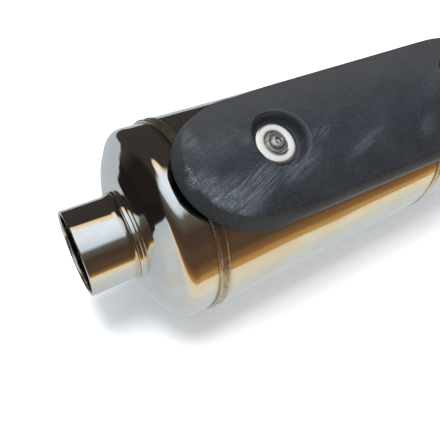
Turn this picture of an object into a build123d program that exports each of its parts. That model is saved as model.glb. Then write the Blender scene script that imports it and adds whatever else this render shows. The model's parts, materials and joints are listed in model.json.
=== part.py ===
"""Round stainless exhaust muffler with a plastic heat shield, for a scooter or motorcycle.

Millimetres. The can's axis is the X axis. The origin is the centre of the inlet mouth, +X points
forward out of the inlet, +Z is up, and -Y is the outer side that faces away from the vehicle.
"""

from build123d import *
import os
from math import cos, radians, sin

os.makedirs("parts", exist_ok=True)

# ---- driving dimensions ---------------------------------------------------------------------
CAN_R = 65.0                # outer radius of the can's middle section
SHEET = 1.2                 # stainless sheet of the can
LAP_GAP = 0.05              # gap between laid-together sheets
INLET_X = 0.0
FRONT_NECK_X = -38.0        # the front cap's neck, where the inlet pipe comes out
FRONT_SHOULDER_X = -55.0
FRONT_SEAM_X = -148.4       # rear line of the front seam
FRONT_SEAM_W = 7.0
REAR_SEAM_X = -340.0        # rear line of the rear seam
REAR_SEAM_W = 6.4
REAR_SHOULDER_X = REAR_SEAM_X - 17.6
REAR_NECK_X = REAR_SEAM_X - 33.4    # the rear cap's neck ends here, around the tail pipe
OUTLET_X = REAR_SEAM_X - 63.6
NECK_R = 29.6
LAP = 14.0                  # how far a cap's skirt reaches inside the middle section

TAIL_R = 27.5               # tail pipe, outside
TAIL_WALL = 1.8
TAIL_STEP = 0.5             # the pipe is this much thinner where it is covered
CORE_WALL = 1.2             # perforated tube slid into the tail pipe

INLET_R = 24.0              # inlet pipe, outside
INLET_WALL = 1.8
HEADER_R = 19.1             # bore of the gasket, for a 38 mm header pipe
GASKET_LENGTH = 26.0

SHIELD_ANGLE = 55.4         # direction that the shield is drawn off in, up from -Y
SHIELD_SHIFT = -1.7         # the shield's middle line lies this far below that of its screws
SHIELD_REAR_X = REAR_SEAM_X - 11.7
SHIELD_FRONT_X = -64.0
SHIELD_RIM_R = 70.0         # the rim's distance from the can's axis
SHIELD_TOP = 82.0           # height of the crown above the can's axis
SHIELD_CROWN_R = 70.0       # the crown's own radius across the shield
SHIELD_WALL = 2.6
SHIELD_REAR_HALF = 41.0     # half width where the rear end runs into the sides
SHIELD_FRONT_HALF = 44.7
SHIELD_END_LENGTH = 55.0    # length of each rounded end
SCREW_X = (REAR_SEAM_X + 51.3, REAR_SEAM_X + 213.0)
WELL_FLOOR_TOP = 73.0       # height of the recess floor above the can's axis
WELL_FLOOR_R = 14.0
WELL_MOUTH_R = 17.2

SCREW_R = 3.0               # M6 flanged button head
THREAD_CLEARANCE = 0.06
HEAD_R = 5.25
HEAD_H = 3.3
FLANGE_R = 6.2
FLANGE_T = 0.9
HEX_R = 2.3                 # 4 mm hexagon, corner radius
WASHER_R = 13.2
WASHER_T = 1.9

OUTWARD = (0.0, -cos(radians(SHIELD_ANGLE)), sin(radians(SHIELD_ANGLE)))


def shield_plane(x, height):
    """The plane that faces the shield's middle, at a place along the can and a height above its axis."""
    centre = (x, height * OUTWARD[1], height * OUTWARD[2])
    return Plane(origin=centre, x_dir=(1, 0, 0), z_dir=OUTWARD)


def write(piece, name):
    """Label a finished piece and write it as its own file."""
    piece.part.label = name
    export_step(piece.part, f"parts/{name}.step")


def ring_section(x0, x1, inner, outer):
    """Half section of a plain ring about the X axis, for a revolve."""
    with Locations(((x0 + x1) / 2, (inner + outer) / 2)):
        Rectangle(abs(x1 - x0), outer - inner)


def plain_tube(x0, x1, outer, wall):
    """A plain tube along the X axis."""
    with BuildPart() as tube:
        with BuildSketch(Plane.YZ.offset(x0)):
            Circle(outer)
            Circle(outer - wall, mode=Mode.SUBTRACT)
        extrude(amount=x1 - x0)
    return tube.part


# ---- can ------------------------------------------------------------------------------------
FRONT_SEAM_END = FRONT_SEAM_X + FRONT_SEAM_W
SKIRT_R = CAN_R - SHEET - LAP_GAP       # outside of both caps' skirts

with BuildPart() as body_shell:
    with BuildSketch(Plane.YZ.offset(REAR_SEAM_X)):
        Circle(CAN_R)
        Circle(CAN_R - SHEET, mode=Mode.SUBTRACT)
    extrude(amount=FRONT_SEAM_END - REAR_SEAM_X)
write(body_shell, "body_shell")

# The rear cap: skirt, rounded shoulder, shallow dome and a neck drawn out around the tail pipe.
MID_SKIRT_R = SKIRT_R - SHEET / 2
with BuildPart() as rear_cap:
    with BuildSketch(Plane.XZ):
        with BuildLine():
            FilletPolyline(
                (REAR_SEAM_X + LAP, MID_SKIRT_R),
                (REAR_SHOULDER_X, MID_SKIRT_R),
                (REAR_SEAM_X - 27.4, 46.0),
                (REAR_SEAM_X - 30.2, NECK_R - SHEET / 2),
                (REAR_NECK_X, NECK_R - SHEET / 2),
                radius=[9.5, 30.0, 1.4],
            )
        trace(line_width=SHEET)
    revolve(axis=Axis.X)
write(rear_cap, "rear_cap")

with BuildPart() as front_cap:
    with BuildSketch(Plane.XZ):
        with BuildLine():
            FilletPolyline(
                (FRONT_SEAM_END - LAP, MID_SKIRT_R),
                (FRONT_SHOULDER_X, MID_SKIRT_R),
                (FRONT_NECK_X - 6.0, INLET_R + 1.2),
                (FRONT_NECK_X + 4.0, INLET_R + 1.2),
                radius=[12.0, 3.0],
            )
        trace(line_width=SHEET)
    revolve(axis=Axis.X)
write(front_cap, "front_cap")

# Each seam is a flat ring between two raised weld lines.
SEAM_LINE = 1.1
SEAM_RISE = 0.55


def seam(x, width):
    """The welded seam at one end of the middle section."""
    with BuildPart() as ring:
        with BuildSketch(Plane.XZ):
            ring_section(x, x + width, CAN_R + LAP_GAP, CAN_R + SEAM_RISE * 0.4)
            ring_section(x, x + SEAM_LINE, CAN_R + LAP_GAP, CAN_R + SEAM_RISE)
            ring_section(x + width - SEAM_LINE, x + width, CAN_R + LAP_GAP, CAN_R + SEAM_RISE)
        revolve(axis=Axis.X)
    return ring


write(seam(REAR_SEAM_X, REAR_SEAM_W), "rear_seam")
write(seam(FRONT_SEAM_X, FRONT_SEAM_W), "front_seam")

# ---- tail pipe ------------------------------------------------------------------------------
TAIL_INNER_X = REAR_SEAM_X - 10.0
BEAD_W = 2.7                    # weld bead outside the neck's end
BEAD_RISE = 1.2
WELD_ROOT = 2.5                 # how far the weld reaches into the neck
COVERED_X = REAR_NECK_X - BEAD_W
TAIL_BORE_R = TAIL_R - TAIL_WALL
CORE_R = TAIL_BORE_R + TAIL_STEP - LAP_GAP
CORE_REAR_X = OUTLET_X + 22.0
CORE_FRONT_X = REAR_SEAM_X + 55.0
CORE_HOLE_R = 2.5
CORE_HOLE_PITCH = 9.0
CORE_HOLE_COLUMNS = 5

with BuildPart() as tail_pipe:
    with BuildSketch(Plane.XZ):
        with BuildLine():
            Polyline(
                (OUTLET_X, TAIL_BORE_R),
                (OUTLET_X, TAIL_R),
                (COVERED_X, TAIL_R),
                (COVERED_X, TAIL_R - TAIL_STEP),
                (TAIL_INNER_X, TAIL_R - TAIL_STEP),
                (TAIL_INNER_X, TAIL_BORE_R + TAIL_STEP),
                (CORE_REAR_X - LAP_GAP, TAIL_BORE_R + TAIL_STEP),
                (CORE_REAR_X - LAP_GAP, TAIL_BORE_R),
                close=True,
            )
        make_face()
    revolve(axis=Axis.X)
    fillet(tail_pipe.edges().group_by(Axis.X)[0], radius=TAIL_WALL * 0.4)
write(tail_pipe, "tail_pipe")

# The weld fills the gap between the neck and the pipe, and ends in a bead outside the neck.
with BuildPart() as tail_weld:
    with BuildSketch(Plane.XZ):
        with BuildLine():
            Polyline(
                (COVERED_X, TAIL_R - TAIL_STEP + LAP_GAP),
                (COVERED_X, TAIL_R + LAP_GAP),
                (COVERED_X + BEAD_W / 2, TAIL_R + BEAD_RISE),
                (REAR_NECK_X - LAP_GAP, TAIL_R + BEAD_RISE),
                (REAR_NECK_X - LAP_GAP, NECK_R - SHEET - LAP_GAP),
                (REAR_NECK_X + WELD_ROOT, NECK_R - SHEET - LAP_GAP),
                (REAR_NECK_X + WELD_ROOT, TAIL_R - TAIL_STEP + LAP_GAP),
                close=True,
            )
        make_face()
    revolve(axis=Axis.X)
write(tail_weld, "tail_weld")


def drill_rows(x_start, pitch, columns, hole_r, reach):
    """Cutters for rows of holes all round a tube about the X axis, six rods to each ring."""
    with BuildPart() as cutters:
        for angle in range(0, 180, 30):
            with BuildSketch(Plane.XY.rotated((angle, 0, 0))):
                with Locations(*[(x_start + pitch * i, 0) for i in range(columns)]):
                    Circle(hole_r)
            extrude(amount=reach, both=True)
    return cutters.part


with BuildPart() as outlet_core:
    add(plain_tube(CORE_REAR_X, CORE_FRONT_X, CORE_R, CORE_WALL))
    add(drill_rows(REAR_SEAM_X + 12.0, CORE_HOLE_PITCH, CORE_HOLE_COLUMNS, CORE_HOLE_R, CORE_R + 1),
        mode=Mode.SUBTRACT)
write(outlet_core, "outlet_core")

# ---- inside the can -------------------------------------------------------------------------
LINING_R = 60.8
LINING_WALL = 0.8
LINING_HOLE_R = 4.0
LINING_HOLE_PITCH = 24.0
LINING_HOLE_COLUMNS = 6
LINING_REAR_X = REAR_SEAM_X + LAP + 2.0
LINING_FRONT_X = FRONT_SEAM_X - 9.0
WOOL_GAP = 0.1
REAR_BAFFLE_X = REAR_SEAM_X + 70.0
FRONT_BAFFLE_X = REAR_SEAM_X + 172.0
BAFFLE_T = 1.5
BAFFLE_RIM = 8.0
BAFFLE_R = LINING_R - LINING_WALL - LAP_GAP
TRANSFER_R = 12.0
TRANSFER_OFFSET = 42.0
TRANSFER_REAR_X = REAR_SEAM_X + 18.0
TRANSFER_FRONT_X = REAR_SEAM_X + 140.0
CAT_R = 31.0
CAT_WALL = 1.5
CAT_MAT_T = 3.0
CAT_CORE_REAR_X = REAR_SEAM_X + 205.0
CAT_CORE_FRONT_X = REAR_SEAM_X + 265.0
CAT_TAIL_R = 20.0
CAT_TAIL_REAR_X = REAR_SEAM_X + 150.0
INLET_INNER_X = CAT_CORE_FRONT_X + 8.0
CELL = 3.6
CELL_PITCH = 5.0

with BuildPart() as lining_skin:
    add(plain_tube(LINING_REAR_X, LINING_FRONT_X, LINING_R, LINING_WALL))
    add(drill_rows(LINING_REAR_X + 14.0, LINING_HOLE_PITCH, LINING_HOLE_COLUMNS, LINING_HOLE_R,
                   LINING_R + 1), mode=Mode.SUBTRACT)
write(lining_skin, "lining_skin")

with BuildPart() as wool_packing:
    WOOL_R = CAN_R - SHEET - WOOL_GAP
    add(plain_tube(LINING_REAR_X, LINING_FRONT_X, WOOL_R, WOOL_R - LINING_R - WOOL_GAP))
write(wool_packing, "wool_packing")

with BuildPart() as rear_baffle:
    with BuildSketch(Plane.YZ.offset(REAR_BAFFLE_X)):
        Circle(BAFFLE_R)
        with Locations((TRANSFER_OFFSET, 0), (-TRANSFER_OFFSET, 0)):
            Circle(TRANSFER_R + LAP_GAP, mode=Mode.SUBTRACT)
    extrude(amount=BAFFLE_T)
    with BuildSketch(Plane.YZ.offset(REAR_BAFFLE_X)):
        Circle(BAFFLE_R)
        Circle(BAFFLE_R - BAFFLE_T, mode=Mode.SUBTRACT)
    extrude(amount=BAFFLE_RIM)
write(rear_baffle, "rear_baffle")

with BuildPart() as front_baffle:
    with BuildSketch(Plane.YZ.offset(FRONT_BAFFLE_X)):
        Circle(BAFFLE_R)
        Circle(CAT_TAIL_R + LAP_GAP, mode=Mode.SUBTRACT)
        with PolarLocations(TRANSFER_OFFSET, 6):
            Circle(4.0, mode=Mode.SUBTRACT)
    extrude(amount=BAFFLE_T)
    with BuildSketch(Plane.YZ.offset(FRONT_BAFFLE_X)):
        Circle(BAFFLE_R)
        Circle(BAFFLE_R - BAFFLE_T, mode=Mode.SUBTRACT)
    extrude(amount=-BAFFLE_RIM)
write(front_baffle, "front_baffle")

with BuildPart() as transfer_tubes:
    with BuildSketch(Plane.YZ.offset(TRANSFER_REAR_X)):
        with Locations((TRANSFER_OFFSET, 0), (-TRANSFER_OFFSET, 0)):
            Circle(TRANSFER_R)
            Circle(TRANSFER_R - SHEET, mode=Mode.SUBTRACT)
    extrude(amount=TRANSFER_FRONT_X - TRANSFER_REAR_X)
write(transfer_tubes, "transfer_tubes")

with BuildPart() as catalyst_can:
    with BuildSketch(Plane.XZ):
        with BuildLine():
            FilletPolyline(
                (CAT_TAIL_REAR_X, CAT_TAIL_R - CAT_WALL / 2),
                (CAT_CORE_REAR_X - 16.0, CAT_TAIL_R - CAT_WALL / 2),
                (CAT_CORE_REAR_X - 5.0, CAT_R - CAT_WALL / 2),
                (CAT_CORE_FRONT_X + 5.0, CAT_R - CAT_WALL / 2),
                (CAT_CORE_FRONT_X + 11.0, INLET_R + LAP_GAP + CAT_WALL / 2),
                (CAT_CORE_FRONT_X + 19.0, INLET_R + LAP_GAP + CAT_WALL / 2),
                radius=2.0,
            )
        trace(line_width=CAT_WALL)
    revolve(axis=Axis.X)
write(catalyst_can, "catalyst_can")

with BuildPart() as catalyst_mat:
    MAT_R = CAT_R - CAT_WALL - LAP_GAP
    add(plain_tube(CAT_CORE_REAR_X, CAT_CORE_FRONT_X, MAT_R, CAT_MAT_T))
write(catalyst_mat, "catalyst_mat")

with BuildPart() as catalyst_core:
    CORE_BRICK_R = MAT_R - CAT_MAT_T - LAP_GAP
    with BuildSketch(Plane.YZ.offset(CAT_CORE_REAR_X)):
        Circle(CORE_BRICK_R)
        with GridLocations(CELL_PITCH, CELL_PITCH, 7, 7):
            Rectangle(CELL, CELL, mode=Mode.SUBTRACT)
    extrude(amount=CAT_CORE_FRONT_X - CAT_CORE_REAR_X)
write(catalyst_core, "catalyst_core")

# ---- inlet ----------------------------------------------------------------------------------
SLOT_W = 3.0
SLOT_LENGTH = 22.0
GASKET_R = INLET_R - INLET_WALL - LAP_GAP

with BuildPart() as inlet_pipe:
    add(plain_tube(INLET_INNER_X, INLET_X, INLET_R, INLET_WALL))
    for plane in (Plane.XY, Plane.XZ):
        with BuildSketch(plane):
            with Locations((INLET_X - SLOT_LENGTH / 2, 0)):
                Rectangle(SLOT_LENGTH, SLOT_W)
        extrude(amount=INLET_R + 1, both=True, mode=Mode.SUBTRACT)
write(inlet_pipe, "inlet_pipe")

with BuildPart() as inlet_weld:
    with BuildSketch(Plane.XZ):
        ring_section(FRONT_NECK_X + 4.1, FRONT_NECK_X + 6.4, INLET_R + LAP_GAP, INLET_R + 1.7)
    revolve(axis=Axis.X)
    chamfer(inlet_weld.edges().group_by(Axis.X)[-1].sort_by(SortBy.RADIUS)[-1], length=0.7)
write(inlet_weld, "inlet_weld")

with BuildPart() as inlet_gasket:
    add(plain_tube(INLET_X - GASKET_LENGTH, INLET_X, GASKET_R, GASKET_R - HEADER_R))
write(inlet_gasket, "inlet_gasket")

# ---- inlet clamp ----------------------------------------------------------------------------
CLAMP_REAR_X = -25.0
CLAMP_WIDTH = 18.0
CLAMP_X = CLAMP_REAR_X + CLAMP_WIDTH / 2
CLAMP_R = INLET_R + 0.08        # running fit on the inlet pipe
CLAMP_T = 1.6
EAR_TOP = 44.0
EAR_T = 2.0
EAR_GAP = 7.0                   # between the two ears
CLAMP_BOLT_Z = 36.5
CLAMP_BOLT_R = 3.0
EAR_HOLE_R = CLAMP_BOLT_R + THREAD_CLEARANCE
NUT_H = 5.0
NUT_ACROSS = 10.0
CLAMP_WASHER_T = 1.6
CLAMP_WASHER_R = 6.0
CLAMP_PLAY = 0.1

with BuildPart() as clamp_band:
    with BuildSketch(Plane.YZ.offset(CLAMP_REAR_X)):
        Circle(CLAMP_R + CLAMP_T)
        with Locations((0, (CLAMP_R + EAR_TOP) / 2)):
            Rectangle(EAR_GAP + 2 * EAR_T, EAR_TOP - CLAMP_R)
        Circle(CLAMP_R, mode=Mode.SUBTRACT)
        with Locations((0, EAR_TOP / 2)):
            Rectangle(EAR_GAP, EAR_TOP, mode=Mode.SUBTRACT)
    extrude(amount=CLAMP_WIDTH)
    with BuildSketch(Plane.XZ):
        with Locations((CLAMP_X, CLAMP_BOLT_Z)):
            Circle(EAR_HOLE_R)
    extrude(amount=EAR_GAP + EAR_T, both=True, mode=Mode.SUBTRACT)
write(clamp_band, "clamp_band")

EAR_OUTER = EAR_GAP / 2 + EAR_T
BOLT_TIP = 19.3                 # the nut leaves the bolt after 12 turns
BOLT_HEAD_H = 4.0

with BuildPart() as clamp_bolt:
    with BuildSketch(Plane(origin=(CLAMP_X, -EAR_OUTER, CLAMP_BOLT_Z), z_dir=(0, -1, 0))):
        RegularPolygon(radius=NUT_ACROSS / 2, side_count=6, major_radius=False)
    extrude(amount=BOLT_HEAD_H)
    with BuildSketch(Plane(origin=(CLAMP_X, -EAR_OUTER, CLAMP_BOLT_Z), z_dir=(0, 1, 0))):
        Circle(CLAMP_BOLT_R)
    extrude(amount=EAR_OUTER + BOLT_TIP)
    chamfer(clamp_bolt.faces().sort_by(Axis.Y)[-1].edges(), length=0.6)
write(clamp_bolt, "clamp_bolt")

with BuildPart() as clamp_washer:
    with BuildSketch(Plane(origin=(CLAMP_X, EAR_OUTER + CLAMP_PLAY, CLAMP_BOLT_Z), z_dir=(0, 1, 0))):
        Circle(CLAMP_WASHER_R)
        Circle(EAR_HOLE_R, mode=Mode.SUBTRACT)
    extrude(amount=CLAMP_WASHER_T)
write(clamp_washer, "clamp_washer")

with BuildPart() as clamp_nut:
    NUT_Y = EAR_OUTER + 2 * CLAMP_PLAY + CLAMP_WASHER_T
    with BuildSketch(Plane(origin=(CLAMP_X, NUT_Y, CLAMP_BOLT_Z), z_dir=(0, 1, 0))):
        RegularPolygon(radius=NUT_ACROSS / 2, side_count=6, major_radius=False)
        Circle(EAR_HOLE_R, mode=Mode.SUBTRACT)
    extrude(amount=NUT_H)
write(clamp_nut, "clamp_nut")

# ---- heat shield and its fixings ------------------------------------------------------------
BOSS_R = 7.5
BOSS_TOP = 69.2
ISOLATOR_R = 11.0
ISOLATOR_HOLE_R = 4.2
WELL_FLOOR_BOTTOM = WELL_FLOOR_TOP - 2.2
ISOLATOR_TOP = WELL_FLOOR_BOTTOM - 0.1
COLLAR_R = 5.4
COLLAR_HOLE_R = 3.6
WASHER_SEAT = WELL_FLOOR_TOP + 0.15
DISH_R = 6.6                    # the washer's sunk centre, which takes the screw's head
DISH_FLOOR = WASHER_SEAT + 0.8
WASHER_HOLE_R = SCREW_R + 0.08
SCREW_TIP = CAN_R + 0.4

with BuildPart() as shield_bosses:
    for x, skin_r in zip(SCREW_X, (CAN_R, SKIRT_R)):
        with BuildSketch(shield_plane(x, skin_r - 1.0)):
            Circle(BOSS_R)
            Circle(SCREW_R + THREAD_CLEARANCE, mode=Mode.SUBTRACT)
        extrude(amount=BOSS_TOP - skin_r + 1.0)
        with BuildSketch(Plane.YZ.offset(x - BOSS_R)):
            Circle(skin_r + LAP_GAP)
        extrude(amount=2 * BOSS_R, mode=Mode.SUBTRACT)
write(shield_bosses, "shield_bosses")

with BuildPart() as shield_isolators:
    for x in SCREW_X:
        with BuildSketch(shield_plane(x, BOSS_TOP + LAP_GAP)):
            Circle(ISOLATOR_R)
            Circle(ISOLATOR_HOLE_R, mode=Mode.SUBTRACT)
        extrude(amount=ISOLATOR_TOP - BOSS_TOP - LAP_GAP)
write(shield_isolators, "shield_isolators")


def shield_outline(inset):
    """The shield seen from straight outside: two elliptical ends and sides that widen forward."""
    rear_x = SHIELD_REAR_X + SHIELD_END_LENGTH
    front_x = SHIELD_FRONT_X - SHIELD_END_LENGTH
    rear_half = SHIELD_REAR_HALF - inset
    front_half = SHIELD_FRONT_HALF - inset
    end_length = SHIELD_END_LENGTH - inset
    with BuildSketch() as outline:
        with BuildLine():
            EllipticalCenterArc((rear_x, 0), end_length, rear_half, start_angle=90, arc_size=180)
            Line((rear_x, -rear_half), (front_x, -front_half))
            EllipticalCenterArc((front_x, 0), end_length, front_half, start_angle=-90, arc_size=180)
            Line((front_x, front_half), (rear_x, rear_half))
        make_face()
    return outline.sketch


def shield_space(inset, rim_r, top):
    """The shield's outline pulled straight out, cut to the rim's and the crown's radius."""
    middle_x = (SHIELD_REAR_X + SHIELD_FRONT_X) / 2
    length = SHIELD_FRONT_X - SHIELD_REAR_X + 20.0
    crown_r = SHIELD_CROWN_R - inset
    with BuildPart() as space:
        with BuildSketch(shield_plane(0, 40.0)):
            with Locations((0, SHIELD_SHIFT)):
                add(shield_outline(inset))
        extrude(amount=50.0)
        crown = Plane(origin=(middle_x, 0, 0), x_dir=(0, OUTWARD[2], -OUTWARD[1]), z_dir=(1, 0, 0))
        with BuildSketch(crown.offset(-length / 2)):
            with Locations((SHIELD_SHIFT, top - inset - crown_r)):
                Circle(crown_r)
        extrude(amount=length, mode=Mode.INTERSECT)
        with BuildSketch(Plane.YZ.offset(middle_x - length / 2)):
            Circle(rim_r)
        extrude(amount=length, mode=Mode.SUBTRACT)
    return space.part


with BuildPart() as heat_shield:
    add(shield_space(0.0, SHIELD_RIM_R, SHIELD_TOP))
    add(shield_space(SHIELD_WALL, SHIELD_RIM_R - 1.0, SHIELD_TOP), mode=Mode.SUBTRACT)
    # the wall of each recess, as a cone kept inside the crown
    with BuildPart(mode=Mode.PRIVATE) as recess_walls:
        for x in SCREW_X:
            with BuildSketch(shield_plane(x, WELL_FLOOR_BOTTOM)):
                Circle(WELL_FLOOR_R + SHIELD_WALL)
            with BuildSketch(shield_plane(x, SHIELD_TOP)):
                Circle(WELL_MOUTH_R + SHIELD_WALL)
            loft()
        add(shield_space(0.0, SHIELD_RIM_R, SHIELD_TOP), mode=Mode.INTERSECT)
    add(recess_walls.part)
    for x in SCREW_X:
        with BuildSketch(shield_plane(x, WELL_FLOOR_TOP)):
            Circle(WELL_FLOOR_R)
        with BuildSketch(shield_plane(x, SHIELD_TOP)):
            Circle(WELL_MOUTH_R)
        loft(mode=Mode.SUBTRACT)
        with BuildSketch(shield_plane(x, WELL_FLOOR_BOTTOM - 1.0)):
            Circle(COLLAR_R + LAP_GAP)
        extrude(amount=WELL_FLOOR_TOP - WELL_FLOOR_BOTTOM + 2.0, mode=Mode.SUBTRACT)
write(heat_shield, "heat_shield")

with BuildPart() as shield_collars:
    for x in SCREW_X:
        with BuildSketch(shield_plane(x, WELL_FLOOR_BOTTOM)):
            Circle(COLLAR_R)
            Circle(COLLAR_HOLE_R, mode=Mode.SUBTRACT)
        extrude(amount=WELL_FLOOR_TOP - WELL_FLOOR_BOTTOM)
write(shield_collars, "shield_collars")


def dished_washer(x):
    """Large washer with a rolled edge and a sunk centre for the screw's head."""
    with BuildPart() as washer:
        with BuildSketch(shield_plane(x, WASHER_SEAT)):
            Circle(WASHER_R)
        extrude(amount=WASHER_T)
        fillet(washer.faces().sort_by(Axis((0, 0, 0), OUTWARD))[-1].edges(), radius=WASHER_T * 0.8)
        with BuildSketch(shield_plane(x, DISH_FLOOR)):
            Circle(DISH_R)
        extrude(amount=WASHER_T, mode=Mode.SUBTRACT)
        with BuildSketch(shield_plane(x, WASHER_SEAT - 1.0)):
            Circle(WASHER_HOLE_R)
        extrude(amount=WASHER_T, mode=Mode.SUBTRACT)
    return washer


def button_screw(x):
    """Button-head screw with a thin flange and a hexagon socket."""
    seat = DISH_FLOOR + THREAD_CLEARANCE
    with BuildPart() as screw:
        with BuildSketch(shield_plane(x, SCREW_TIP)):
            Circle(SCREW_R)
        extrude(amount=seat - SCREW_TIP + 0.5)
        with BuildSketch(shield_plane(x, seat)):
            Circle(HEAD_R)
        extrude(amount=HEAD_H)
        fillet(screw.faces().sort_by(Axis((0, 0, 0), OUTWARD))[-1].edges(), radius=(HEAD_H - FLANGE_T) * 0.9)
        with BuildSketch(shield_plane(x, seat)):
            Circle(FLANGE_R)
        extrude(amount=FLANGE_T)
        with BuildSketch(shield_plane(x, seat + HEAD_H - 2.0)):
            RegularPolygon(radius=HEX_R, side_count=6)
        extrude(amount=HEAD_H, mode=Mode.SUBTRACT)
    return screw


for x, place in zip(SCREW_X, ("rear", "front")):
    write(dished_washer(x), f"{place}_shield_washer")
    write(button_screw(x), f"{place}_shield_screw")

# ---- mounting bracket, on the side towards the vehicle --------------------------------------
PLATE_Y = 90.0                  # outer face of the plate
PLATE_T = 4.0
PLATE_Z = -18.0
PLATE_MIDDLE_X = REAR_SEAM_X + 118.0
HOLE_SPACING = 90.0
GROMMET_R = 12.0
GROMMET_FLANGE_R = 15.0
GROMMET_FLANGE_T = 2.5
SLEEVE_R = 6.5
SLEEVE_BORE_R = 4.2             # for M8 bolts
PLATE_LENGTH = HOLE_SPACING + 44.0
PLATE_HEIGHT = 44.0
RIB_T = 3.0
RIB_SPREAD = 27.0               # from the plate's middle to each rib
PLATE_INNER_Y = PLATE_Y - PLATE_T
HOLE_XS = (PLATE_MIDDLE_X - HOLE_SPACING / 2, PLATE_MIDDLE_X + HOLE_SPACING / 2)


def plate_plane(y):
    """A plane that faces the vehicle, with its x direction forward and its y direction up."""
    return Plane(origin=(0, y, 0), x_dir=(-1, 0, 0), z_dir=(0, 1, 0))


def at_holes():
    """The two bolt places in a plane from plate_plane."""
    return Locations(*[(-x, PLATE_Z) for x in HOLE_XS])


with BuildPart() as bracket_plate:
    with BuildSketch(plate_plane(PLATE_INNER_Y)):
        with Locations((-PLATE_MIDDLE_X, PLATE_Z)):
            SlotOverall(PLATE_LENGTH, PLATE_HEIGHT)
        with at_holes():
            Circle(GROMMET_R + LAP_GAP, mode=Mode.SUBTRACT)
    extrude(amount=PLATE_T)
write(bracket_plate, "bracket_plate")

for side, place in ((-1, "rear"), (1, "front")):
    rib_x = PLATE_MIDDLE_X + side * RIB_SPREAD - RIB_T / 2
    with BuildPart() as rib:
        with BuildSketch(Plane.YZ.offset(rib_x)):
            with BuildLine():
                Polyline(
                    (PLATE_INNER_Y, PLATE_Z + PLATE_HEIGHT / 2 - 4.0),
                    (PLATE_INNER_Y, PLATE_Z - PLATE_HEIGHT / 2 + 4.0),
                    (30.0, -60.0),
                    (30.0, 24.0),
                    close=True,
                )
            make_face()
            Circle(CAN_R + LAP_GAP, mode=Mode.SUBTRACT)
        extrude(amount=RIB_T)
    write(rib, f"{place}_bracket_rib")

with BuildPart() as mount_grommets:
    for y, r, t in (
        (PLATE_INNER_Y - GROMMET_FLANGE_T, GROMMET_FLANGE_R, GROMMET_FLANGE_T),
        (PLATE_INNER_Y, GROMMET_R, PLATE_T),
        (PLATE_Y, GROMMET_FLANGE_R, GROMMET_FLANGE_T),
    ):
        with BuildSketch(plate_plane(y)):
            with at_holes():
                Circle(r)
        extrude(amount=t)
    with BuildSketch(plate_plane(PLATE_INNER_Y - GROMMET_FLANGE_T)):
        with at_holes():
            Circle(SLEEVE_R + LAP_GAP)
    extrude(amount=PLATE_T + 2 * GROMMET_FLANGE_T, mode=Mode.SUBTRACT)
write(mount_grommets, "mount_grommets")

with BuildPart() as mount_sleeves:
    with BuildSketch(plate_plane(PLATE_INNER_Y - GROMMET_FLANGE_T - 0.5)):
        with at_holes():
            Circle(SLEEVE_R)
            Circle(SLEEVE_BORE_R, mode=Mode.SUBTRACT)
    extrude(amount=PLATE_T + 2 * GROMMET_FLANGE_T + 1.0)
write(mount_sleeves, "mount_sleeves")
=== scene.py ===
import json
from math import acos, cos, exp, hypot, pi, radians, sin, sqrt, tan

import bmesh
import bpy
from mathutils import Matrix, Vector, geometry, noise


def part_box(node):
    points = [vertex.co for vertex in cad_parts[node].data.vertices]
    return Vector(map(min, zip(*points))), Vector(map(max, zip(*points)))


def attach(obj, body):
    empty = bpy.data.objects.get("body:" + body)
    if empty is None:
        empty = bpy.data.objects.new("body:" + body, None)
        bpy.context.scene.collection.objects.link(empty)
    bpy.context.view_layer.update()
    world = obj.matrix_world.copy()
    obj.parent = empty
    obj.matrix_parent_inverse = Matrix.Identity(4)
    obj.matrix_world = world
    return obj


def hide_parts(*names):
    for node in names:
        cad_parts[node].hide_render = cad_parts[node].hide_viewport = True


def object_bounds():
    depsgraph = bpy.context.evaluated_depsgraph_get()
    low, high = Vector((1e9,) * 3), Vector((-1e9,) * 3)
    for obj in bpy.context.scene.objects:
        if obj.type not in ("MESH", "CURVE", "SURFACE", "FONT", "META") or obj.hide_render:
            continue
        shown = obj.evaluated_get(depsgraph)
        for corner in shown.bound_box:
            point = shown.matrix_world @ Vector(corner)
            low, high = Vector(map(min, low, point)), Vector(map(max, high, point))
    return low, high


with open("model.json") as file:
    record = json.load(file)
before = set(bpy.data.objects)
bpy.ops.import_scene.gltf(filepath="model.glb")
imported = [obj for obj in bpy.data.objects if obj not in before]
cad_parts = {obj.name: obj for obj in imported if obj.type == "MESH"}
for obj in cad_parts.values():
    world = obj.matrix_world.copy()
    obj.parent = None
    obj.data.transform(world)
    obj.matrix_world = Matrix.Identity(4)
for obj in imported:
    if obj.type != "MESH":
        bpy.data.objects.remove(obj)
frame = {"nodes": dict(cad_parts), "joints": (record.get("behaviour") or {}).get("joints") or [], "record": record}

# Metres throughout, in the frame of the CAD model: +X along the can, out of the inlet; +Z up;
# -Y to the outer side, where the shield is.

MM = 0.001
cad_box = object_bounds()
nodes = frame["nodes"]

# ---- places taken from the frame ------------------------------------------------------------
SHELL_LOW, SHELL_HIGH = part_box("body_shell")
CAN_R = SHELL_HIGH.z
REAR_SEAM_X = SHELL_LOW.x
FRONT_SEAM_END = SHELL_HIGH.x
OUTLET_X, TAIL_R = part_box("tail_pipe")[0].x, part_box("tail_pipe")[1].z
TAIL_INNER_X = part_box("tail_pipe")[1].x
SHIELD_REAR_X, SHIELD_FRONT_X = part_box("heat_shield")[0].x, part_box("heat_shield")[1].x
SKIRT_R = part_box("rear_cap")[1].z
FLOOR_Z = cad_box[0].z
LIFT_AXIS = next(Vector(j["axis"]) for j in frame["joints"] if j["name"] == "shield_lift")
ACROSS = LIFT_AXIS.cross(Vector((1, 0, 0))).normalized()     # across the shield, upwards


def middle(node):
    """The middle of a CAD node's box."""
    low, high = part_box(node)
    return (low + high) / 2


def length(node):
    """How long a CAD node's box is along the can."""
    low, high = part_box(node)
    return high.x - low.x


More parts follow.
